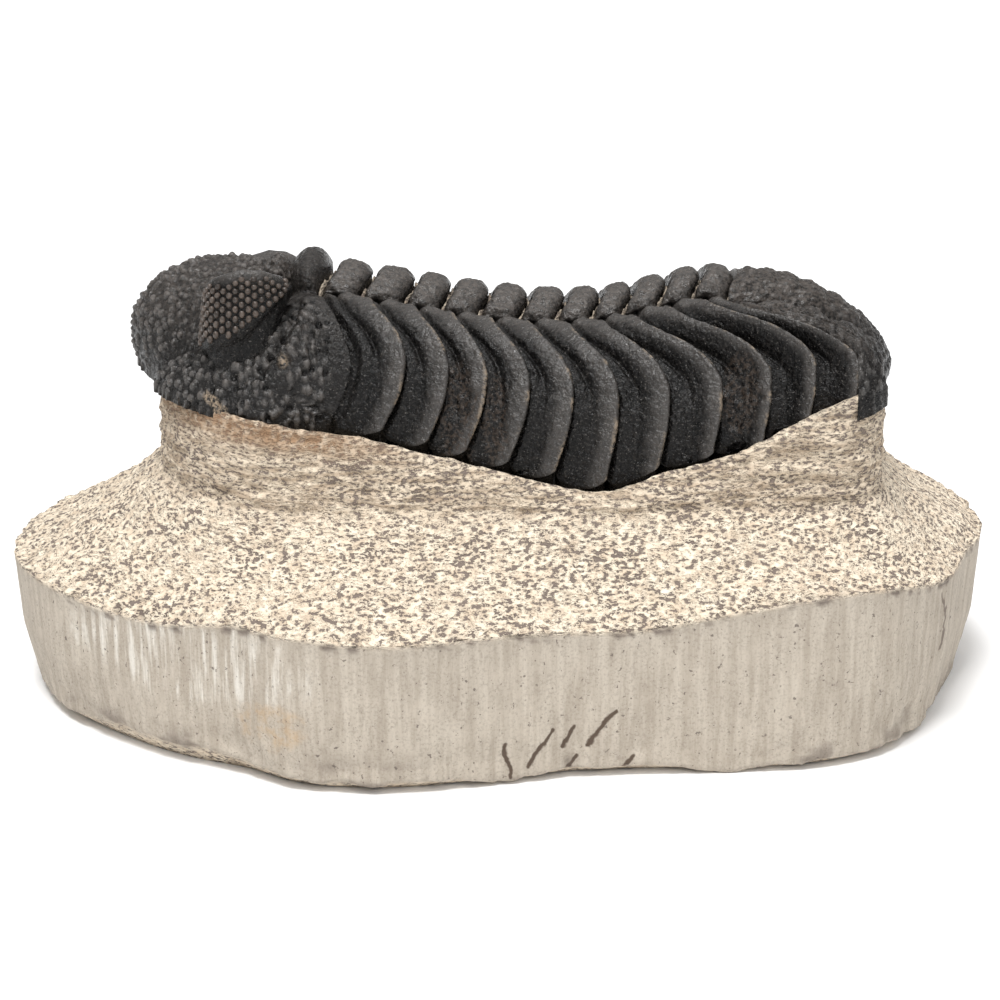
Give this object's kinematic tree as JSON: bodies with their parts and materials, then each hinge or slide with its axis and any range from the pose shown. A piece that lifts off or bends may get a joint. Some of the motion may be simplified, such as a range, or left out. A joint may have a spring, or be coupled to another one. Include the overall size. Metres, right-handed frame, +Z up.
{
  "type": "phacopid trilobite fossil on its limestone matrix",
  "caption": "Black trilobite with compound eyes, an arched back of overlapping body rings and a ribbed tail, standing on a raised pedestal of its pale limestone slab.",
  "frame": {"origin": "middle of the stone's bounding box, on the surface that it stands on", "axes": "+X from the trilobite's head to its tail, +Z up, so -Y is the trilobite's left side"},
  "size_m": [0.0659, 0.0448, 0.0294],
  "materials": {
    "limestone": "rough, tooled above, sawn at the sides",
    "fossil": "granular, satin to glossy"
  },
  "bodies": {
    "root": {"matrix": "limestone", "cephalon": "fossil", "thorax_segment_01": "fossil", "thorax_segment_02": "fossil", "thorax_segment_03": "fossil", "thorax_segment_04": "fossil", "thorax_segment_05": "fossil", "thorax_segment_06": "fossil", "thorax_segment_07": "fossil", "thorax_segment_08": "fossil", "thorax_segment_09": "fossil", "thorax_segment_10": "fossil", "thorax_segment_11": "fossil", "pygidium": "fossil"}
  },
  "joints": []
}
